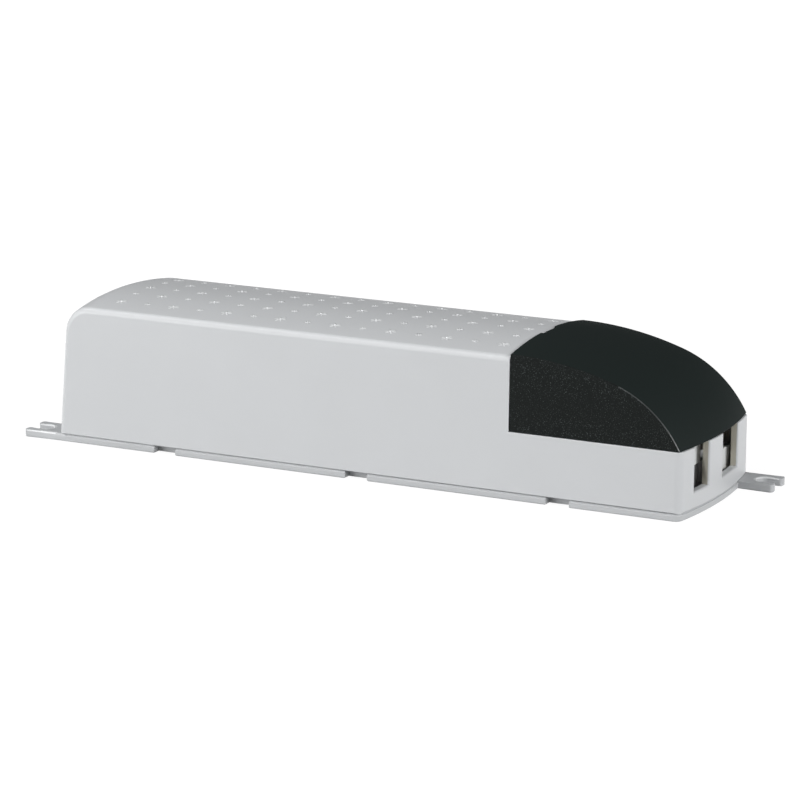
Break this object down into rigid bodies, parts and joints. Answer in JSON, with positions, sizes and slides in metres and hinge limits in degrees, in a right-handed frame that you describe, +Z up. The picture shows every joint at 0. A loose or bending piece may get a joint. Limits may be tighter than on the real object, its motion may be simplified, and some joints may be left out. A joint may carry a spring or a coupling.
{
  "type": "electronic transformer",
  "caption": "Electronic transformer for low voltage halogen lamps: long crowned housing on a lugged base plate, clip-on terminal cover, cord clamps, and a populated circuit board inside.",
  "frame": {"origin": "middle of the underside of the base plate, which is the middle of the part in plan", "axes": "+X along the length, towards the cord entries; +Y across, away from the mains entry; +Z up"},
  "size_m": [0.2014, 0.048, 0.0399],
  "materials": {
    "housing_grey": "silver-grey moulded plastic, eggshell gloss",
    "base_grey": "silver-grey moulded plastic",
    "cover_black": "near-black moulded plastic, satin top and fine spark-eroded sides",
    "board_laminate": "tan paper laminate",
    "insulating_film": "thin translucent film",
    "zinc_steel": "zinc-plated steel",
    "terminal_plastic": "light grey moulded plastic",
    "terminal_brass": "bare brass",
    "pillar_metal": "dark coated metal",
    "fuse_glass": "clear glass tube",
    "nickel_plate": "nickel-plated caps",
    "varistor_blue": "blue dipped coating",
    "choke_green": "coated ferrite ring",
    "copper_wire": "enamelled copper wire",
    "filter_yellow": "yellow capacitor box",
    "moulded_black": "black moulding compound",
    "start_cap_blue": "dark blue sleeve",
    "resistor_tan": "tan lacquer",
    "diode_blue": "blue glass-like body",
    "pad_grey": "grey insulating pad",
    "sink_aluminium": "bare bent sheet",
    "bridge_cap_red": "dark red capacitor box",
    "core_ferrite": "bare black ferrite",
    "cradle_white": "white moulded plastic"
  },
  "bodies": {
    "root": {"housing": "housing_grey", "base_plate": "base_grey", "terminal_cover": "cover_black", "circuit_board": "board_laminate", "board_screws": "zinc_steel", "insulating_sheet": "insulating_film", "mains_terminal_block": "terminal_plastic", "mains_terminal_cages": "terminal_brass", "mains_terminal_screws": "zinc_steel", "lamp_terminal_block": "terminal_plastic", "lamp_terminal_cages": "terminal_brass", "lamp_terminal_screws": "zinc_steel", "mains_clamp_bar": "terminal_plastic", "mains_clamp_pillars": "pillar_metal", "lamp_clamp_bar": "terminal_plastic", "cord_clamp_screws": "zinc_steel", "fuse_tube": "fuse_glass", "fuse_caps": "nickel_plate", "fuse_clips": "terminal_brass", "varistor": "varistor_blue", "choke_core": "choke_green", "choke_windings": "copper_wire", "filter_capacitor": "filter_yellow", "bridge_rectifier": "moulded_black", "start_capacitor": "start_cap_blue", "start_resistors": "resistor_tan", "trigger_diode": "diode_blue", "drive_core": "choke_green", "drive_windings": "copper_wire", "transistor_a": "moulded_black", "transistor_b": "moulded_black", "transistor_pads": "pad_grey", "transistor_screws": "zinc_steel", "heat_sink": "sink_aluminium", "base_resistors": "resistor_tan", "bridge_capacitor_a": "bridge_cap_red", "bridge_capacitor_b": "bridge_cap_red", "thermal_cutout": "moulded_black", "output_core": "core_ferrite", "core_cradle": "cradle_white", "primary_winding": "copper_wire", "secondary_winding": "copper_wire"}
  },
  "joints": []
}
